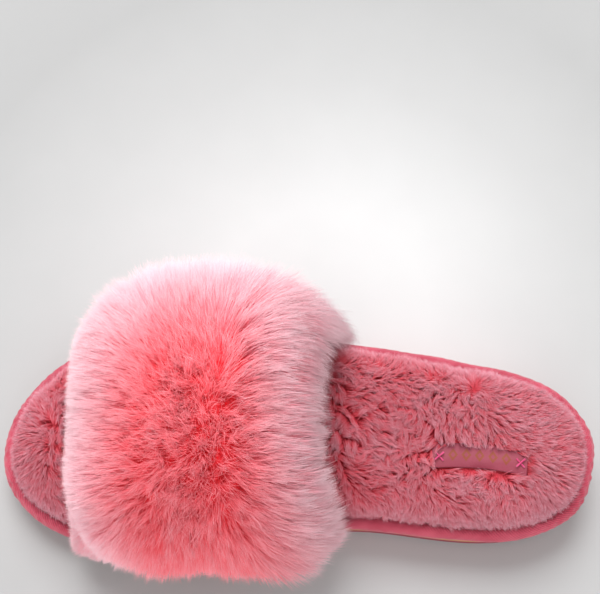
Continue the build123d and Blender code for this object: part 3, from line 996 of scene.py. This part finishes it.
def make_wrap():
    """Cloth drawn around the footbed's edge, puckered where it goes round the toe and the heel."""
    around = np.linspace(0, EDGE_LENGTH, WRAP_LOOPS, endpoint=False)
    edge = read_along(WRAP_EDGE, EDGE_ALONG, around, period=EDGE_LENGTH)
    normal = unit(read_along(EDGE_NORMAL, EDGE_ALONG, around, period=EDGE_LENGTH))
    corners = np.array(WRAP_PROFILE) * MM
    knots = np.arange(len(corners) + 1)
    fine = np.linspace(0, len(corners), len(corners) * PROFILE_STEPS, endpoint=False)
    closed = np.vstack([corners, corners[:1]])
    profile = smoothed_loop(read_along(closed, knots, fine), PROFILE_SMOOTHING)
    turning = np.abs(edge[:, 1] - (TOE_Y + HEEL_Y) / 2) / ((HEEL_Y - TOE_Y) / 2)
    pucker = PUCKER + PUCKER_ENDS * smooth_step(0.72, 0.98, turning)
    place = np.stack(np.broadcast_arrays(around[:, None] / 3.1, fine[None, :] * 0.9 * MM), -1)
    folds = waves(place, 1.6 * MM, SEED + 30, 14) * (pucker * MM)[:, None]
    folds += waves(around[:, None], 38 * MM, SEED + 31)[:, None] * 0.16 * MM
    away = unit(profile - np.array(PROFILE_CORE) * MM)
    offset = profile[None] + away[None] * folds[..., None]
    sway = waves(around[:, None], 55 * MM, SEED + 32) * 0.25 * MM
    vertices = np.empty((WRAP_LOOPS, len(fine), 3))
    vertices[..., :2] = edge[:, None] + normal[:, None] * offset[..., :1]
    raised = np.clip(offset[..., 1] / (5 * MM), 0, 1)
    vertices[..., 2] = (midsole_top(edge[:, 1])[:, None] + offset[..., 1]
                        + sway[:, None] * 0.5 * raised)
    quads = grid_faces(WRAP_LOOPS, len(fine), wrap_columns=True)
    last = (WRAP_LOOPS - 1) * len(fine)
    column = np.arange(len(fine))
    following = (column + 1) % len(fine)
    seam = np.stack([last + column, last + following, following, column], -1)
    down = running_length(profile)
    uv = np.stack(np.broadcast_arrays(around[:, None], down[None, :]), -1).reshape(-1, 2)
    obj = add_mesh("side_wrap_cloth", vertices.reshape(-1, 3), np.concatenate([quads, seam]),
                   {"cloth": uv})
    finish_piece(obj, wrap_material(), ["side_wrap"])


def wrap_material():
    """Twill: diagonal ribs crossed by fainter threads."""
    n = Nodes("wrap_twill", 0.85, Sheen_Weight=0.3)
    place = n.uv("cloth")
    ribs = n.wave(place, "DIAGONAL", 480.0, 0.5, 1.0)
    threads = n.math("ADD", n.math("MULTIPLY", n.wave(place, "X", 360.0), 0.5), 0.5)
    weave = n.math("MULTIPLY", ribs, threads)
    tone = n.noise(n.place(), 110.0, 5.0, 0.6)
    base = n.ramp(tone, [(0.3, srgb(178, 50, 74)), (0.7, srgb(200, 76, 98))])
    shade = n.ramp(weave, [(0.0, (0.60, 0.52, 0.56, 1)), (0.6, (1.0, 1.0, 1.0, 1))])
    n.colour(n.blend(0.8, base, shade, "MULTIPLY"))
    n.bump(weave, 0.55, 0.0003)
    return n.material


make_wrap()


# ---------------------------------------------------------------- sole

def cad_material(node, material):
    """New material on a CAD node that keeps its shape."""
    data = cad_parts[node].data
    data.materials.clear()
    data.materials.append(material)


def rubber_material():
    """Deep red rubber with sparse pale flecks."""
    n = Nodes("outsole_rubber", 0.62)
    place = n.place()
    speckle = n.noise(place, 2600.0, 2.0)
    broad = n.noise(place, 60.0, 4.0)
    base = n.ramp(broad, [(0.3, srgb(128, 34, 52)), (0.7, srgb(146, 48, 66))])
    flecks = n.ramp(speckle, [(0.60, (0, 0, 0, 1)), (0.72, (1, 1, 1, 1))])
    n.colour(n.blend(n.math("MULTIPLY", flecks, 0.35), base, srgb(216, 128, 150)))
    n.bump(n.noise(place, 1500.0, 3.0), 0.35, 0.0003)
    return n.material


def eva_material(name, dark, light, streaks):
    """Foamed sheet: fine cells, and streaks that run along the sole."""
    n = Nodes(name, 0.8)
    place = n.place()
    lines = n.noise(n.scaled(place, (6.0, 6.0, streaks)), 10.0, 5.0, 0.6)
    n.colour(n.ramp(lines, [(0.32, dark), (0.68, light)]))
    n.bump(n.noise(place, 1800.0, 3.0), 0.3, 0.0002)
    return n.material


def thread_material(name, dark, light):
    n = Nodes(name, 0.6, Sheen_Weight=0.3)
    twist = n.wave(n.place(), "DIAGONAL", 900.0)
    # Darker in the twist's grooves, where the bump sinks: painted shade.
    n.colour(n.ramp(twist, [(0.2, dark), (0.8, light)]))
    n.bump(twist, 0.5, 0.0002)
    return n.material


def make_sole():
    """Materials of the pieces that keep their CAD shapes."""
    cad_material("outsole", rubber_material())
    cad_material("midsole_stripe",
                 eva_material("tan_foam", srgb(158, 114, 74), srgb(184, 142, 96), 60.0))
    cad_material("midsole_wedge",
                 eva_material("pink_foam", srgb(180, 82, 104), srgb(206, 112, 132), 120.0))
    cad_material("insole_board",
                 mottled_material("pressed_fibre", 0.9, (120, 92, 62), (170, 138, 98),
                                  (800.0, 6.0), (1400.0, 4.0, 0.4, 0.0003)))
    thread = thread_material("seam_thread", srgb(150, 30, 56), srgb(206, 76, 104))
    for node in ("edge_stitching", "strap_front_stitching", "strap_rear_stitching"):
        cad_material(node, thread)
    cad_material("label_stitching",
                 thread_material("label_thread", srgb(176, 24, 84), srgb(222, 70, 130)))


make_sole()


# ---------------------------------------------------------------- label

LABEL_THICK = 0.5 * MM
LABEL_BOW = 1.6 * MM           # its middle lies this much nearer the outer side
LABEL_SAG = 0.9 * MM           # its long edges sink this much into the pile
LABEL_RIPPLE = 9 * MM          # wavelength of its slight waves
LABEL_BORDER = (0.55 * MM, 0.9 * MM)     # a darker line runs between these distances from its edge
MOTIF_PITCH = 5.6 * MM
MOTIF_HALF_LENGTH = 2.1 * MM
MOTIF_HALF_WIDTH = 2.7 * MM
MOTIF_ROW = 15.0 * MM          # half length of the row of diamonds
MOTIF_HOLLOW = 0.45            # share of each diamond that is left open


def make_label():
    """Woven ribbon sewn down at both ends, bowed a little, its long edges sunk in the pile."""
    along = np.linspace(-0.5, 0.5, 81)[:, None]
    across = np.linspace(-0.5, 0.5, 25)[None, :]
    hump = 1 - (2 * along) ** 2
    place = np.stack(np.broadcast_arrays(along * LABEL_LENGTH, across * LABEL_WIDTH), -1)
    ripple = waves(place, LABEL_RIPPLE, SEED + 40, 8) * 0.10 * MM * hump
    aside = across * LABEL_WIDTH - LABEL_BOW * hump
    height = label_high.z - LABEL_SAG * (2 * across) ** 2 * (0.4 + 0.6 * hump) + ripple
    cos, sin = math.cos(LABEL_TILT), math.sin(LABEL_TILT)
    x = LABEL_CENTRE.x + aside * cos - along * LABEL_LENGTH * sin
    y = LABEL_CENTRE.y + aside * sin + along * LABEL_LENGTH * cos
    top = np.stack(np.broadcast_arrays(x, y, height), -1)
    obj = closed_shell("label_ribbon", top, top - UP * LABEL_THICK)
    finish_piece(obj, ribbon_material(), ["label"])


def ribbon_material():
    """Satin ribbon with a row of small hollow diamonds and a line along each edge."""
    n = Nodes("ribbon_satin", 0.5, Sheen_Weight=0.3)
    cloth = n.uv("cloth")
    split = n.add("ShaderNodeSeparateXYZ", {"Vector": cloth})
    along = n.math("SUBTRACT", split.outputs["Y"], LABEL_LENGTH / 2)
    across = n.math("ABSOLUTE", n.math("SUBTRACT", split.outputs["X"], LABEL_WIDTH / 2))
    repeat = n.math("FRACT", n.math("ADD", n.math("DIVIDE", along, MOTIF_PITCH), 0.5))
    within = n.math("ABSOLUTE", n.math("SUBTRACT", repeat, 0.5))
    diamond = n.math("ADD", n.math("MULTIPLY", within, MOTIF_PITCH / MOTIF_HALF_LENGTH),
                     n.math("DIVIDE", across, MOTIF_HALF_WIDTH))
    inside = n.math("MULTIPLY", n.math("LESS_THAN", diamond, 1.0),
                    n.math("LESS_THAN", n.math("ABSOLUTE", along), MOTIF_ROW))
    hollow = n.math("MULTIPLY", inside, n.math("GREATER_THAN", diamond, MOTIF_HOLLOW))
    line_start, line_end = LABEL_BORDER
    border = n.math("MULTIPLY", n.math("GREATER_THAN", across, LABEL_WIDTH / 2 - line_end),
                    n.math("LESS_THAN", across, LABEL_WIDTH / 2 - line_start))
    threads = n.math("MULTIPLY", n.wave(cloth, "X", 900.0), n.wave(cloth, "Y", 900.0))
    # Darker between the threads, where the bump sinks: painted shade.
    ground = n.ramp(threads, [(0.0, srgb(130, 34, 56)), (0.6, srgb(154, 50, 74))])
    ground = n.blend(n.math("MULTIPLY", border, 0.4), ground, srgb(138, 34, 62))
    n.colour(n.blend(hollow, ground, srgb(132, 48, 10)))
    n.bump(threads, 0.4, 0.0002)
    return n.material


make_label()


# ---------------------------------------------------------------- floor, light, camera

FLOOR_HALF = 4.0               # metres
# FLOOR_BRIGHTEST is the middle of a painted pool of light on the floor; FLOOR_GREYS fades it to a
# painted darker ring and then to the far grey.
FLOOR_BRIGHTEST = (-0.06, 0.01, 0.0)
FLOOR_GREYS = ((0.05, 0.62), (0.12, 0.46), (0.18, 0.38), (0.5, 0.42))    # metres from there, grey


def make_floor():
    """Pale paper, with a painted pool of light round the slipper and a painted darker ring beyond
    it.
    """
    corners = FLOOR_HALF * np.array([[-1, -1, 0], [1, -1, 0], [1, 1, 0], [-1, 1, 0]], float)
    floor = add_mesh("floor", corners, np.array([[0, 1, 2, 3]]), smooth=False)
    n = Nodes("floor_paper", 0.9)
    place = n.place()
    grain = n.ramp(n.noise(place, 40.0), [(0.3, (0.98, 0.98, 0.98, 1)), (0.7, (1.0, 1.0, 1.0, 1))])
    distance = n.add("ShaderNodeVectorMath", {0: place, 1: FLOOR_BRIGHTEST}, operation="DISTANCE")
    paper_light_pool = n.ramp(distance.outputs["Value"],
                   [(far, (grey, grey, grey, 1)) for far, grey in FLOOR_GREYS])
    n.colour(n.blend(1.0, paper_light_pool, grain, "MULTIPLY"))
    floor.data.materials.append(n.material)


LIGHT_AIM = (0, 0, 0.04)
SUNS = (                       # name, strength, angle in degrees, the side it shines from
    ("key", 3.3, 40.0, (-0.75, -0.12, 1.05)),
    ("fill", 1.7, 60.0, (1.0, -0.15, 0.24)))
WORLD_STRENGTH = 0.78


def make_light():
    """White surroundings and two soft suns: one high on the outer side, one low on the inner."""
    world = bpy.data.worlds.new("studio")
    world.use_nodes = True
    background = world.node_tree.nodes["Background"]
    background.inputs["Color"].default_value = (1.0, 1.0, 1.0, 1)
    background.inputs["Strength"].default_value = WORLD_STRENGTH
    bpy.context.scene.world = world
    for name, strength, angle, position in SUNS:
        data = bpy.data.lights.new(name, "SUN")
        data.energy = strength
        data.angle = math.radians(angle)
        sun = linked(name, data)
        sun.location = position
        towards = Vector(LIGHT_AIM) - Vector(position)
        sun.rotation_euler = towards.to_track_quat("-Z", "Y").to_euler()
    view = bpy.context.scene.view_settings
    view.view_transform = "Standard"
    view.look = "None"
    view.exposure = 0.0
    view.gamma = 1.0


CAMERA_LENS = 85.0
CAMERA_AZIMUTH = 90.0
CAMERA_ELEVATION = 72.0
CAMERA_DISTANCE = 0.634
CAMERA_AIM = (-0.0623, 0.0013, 0.018)


def make_camera():
    data = bpy.data.cameras.new("camera")
    data.lens = CAMERA_LENS
    data.sensor_width = 36.0
    data.clip_start = 0.01
    camera = linked("camera", data)
    azimuth = math.radians(CAMERA_AZIMUTH)
    elevation = math.radians(CAMERA_ELEVATION)
    back = Vector((math.sin(azimuth) * math.cos(elevation),
                   -math.cos(azimuth) * math.cos(elevation), math.sin(elevation)))
    camera.location = Vector(CAMERA_AIM) + back * CAMERA_DISTANCE
    camera.rotation_euler = back.to_track_quat("Z", "Y").to_euler()
    bpy.context.scene.camera = camera


make_floor()
make_light()
make_camera()
